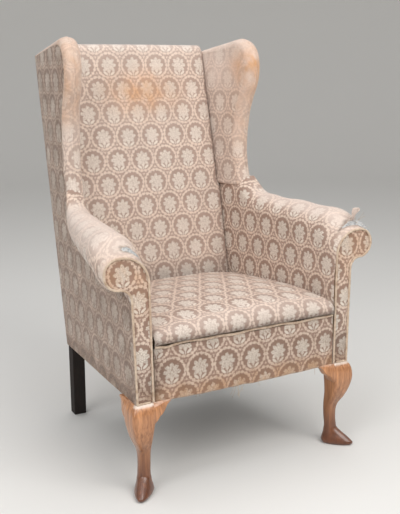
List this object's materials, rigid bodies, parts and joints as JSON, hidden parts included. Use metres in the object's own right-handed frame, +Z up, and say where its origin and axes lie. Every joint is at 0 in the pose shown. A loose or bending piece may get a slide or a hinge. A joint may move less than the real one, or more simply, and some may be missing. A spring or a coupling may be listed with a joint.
{
  "type": "wingback armchair",
  "caption": "Upholstered wingback armchair with rolled arms, a sprung tight seat with a corded lip, carved front legs and raked rear legs.",
  "frame": {"origin": "centre of the chair's footprint on the floor", "axes": "+Z up, the front faces -Y, +X is the viewer's right from the front"},
  "size_m": [0.7878, 0.7254, 1.1124],
  "materials": {
    "walnut_leg": "satin polished walnut-stained",
    "dark_post": "dark stain",
    "beech": "sawn, unfinished",
    "damask": "woven damask, satin ground",
    "stuffing": "cotton and hair wadding",
    "piping": "twisted cord",
    "webbing": "jute",
    "lining": "plain black lining",
    "spring_steel": "coppered spring wire",
    "steel": "bright"
  },
  "bodies": {
    "frame": {"arm_lower_rail_left": "beech", "arm_lower_rail_right": "beech", "arm_pad_left": "stuffing", "arm_pad_right": "stuffing", "arm_post_left": "beech", "arm_post_right": "beech", "arm_rail_left": "beech", "arm_rail_right": "beech", "back_pad": "stuffing", "back_webbing": "webbing", "corner_blocks": "beech", "corner_screws": "steel", "cover_tacks": "steel", "dust_cover": "lining", "facing_cover_left": "damask", "facing_cover_right": "damask", "facing_piping_left": "piping", "facing_piping_right": "piping", "front_border_cover": "damask", "front_border_pad": "stuffing", "front_leg_left": "walnut_leg", "front_leg_right": "walnut_leg", "front_seat_rail": "beech", "inside_arm_cover_left": "damask", "inside_arm_cover_right": "damask", "inside_back_cover": "damask", "inside_wing_cover_left": "damask", "inside_wing_cover_right": "damask", "leg_ears_left": "walnut_leg", "leg_ears_right": "walnut_leg", "lower_back_rail": "beech", "outside_back_cover": "damask", "outside_side_cover_left": "damask", "outside_side_cover_right": "damask", "rear_post_left": "dark_post", "rear_post_right": "dark_post", "rear_seat_rail": "beech", "seat_springs": "spring_steel", "seat_webbing": "webbing", "side_seat_rail_left": "beech", "side_seat_rail_right": "beech", "top_back_rail": "beech", "wing_lower_rail_left": "beech", "wing_lower_rail_right": "beech", "wing_pad_left": "stuffing", "wing_pad_right": "stuffing", "wing_post_left": "beech", "wing_post_right": "beech", "wing_top_rail_left": "beech", "wing_top_rail_right": "beech"},
    "seat": {"seat_pad": "stuffing", "seat_cover": "damask", "seat_lip_cord": "piping", "spring_canvas": "webbing"}
  },
  "joints": [
    {"name": "seat_sink", "type": "slide", "parent": "frame", "child": "seat", "axis": [0, 0, 1], "range_m": [-0.045, 0], "stiffness_N_per_m": 12000, "springref_m": 0.0083, "deforming": ["seat_springs", "front_border_pad", "front_border_cover"]}
  ]
}
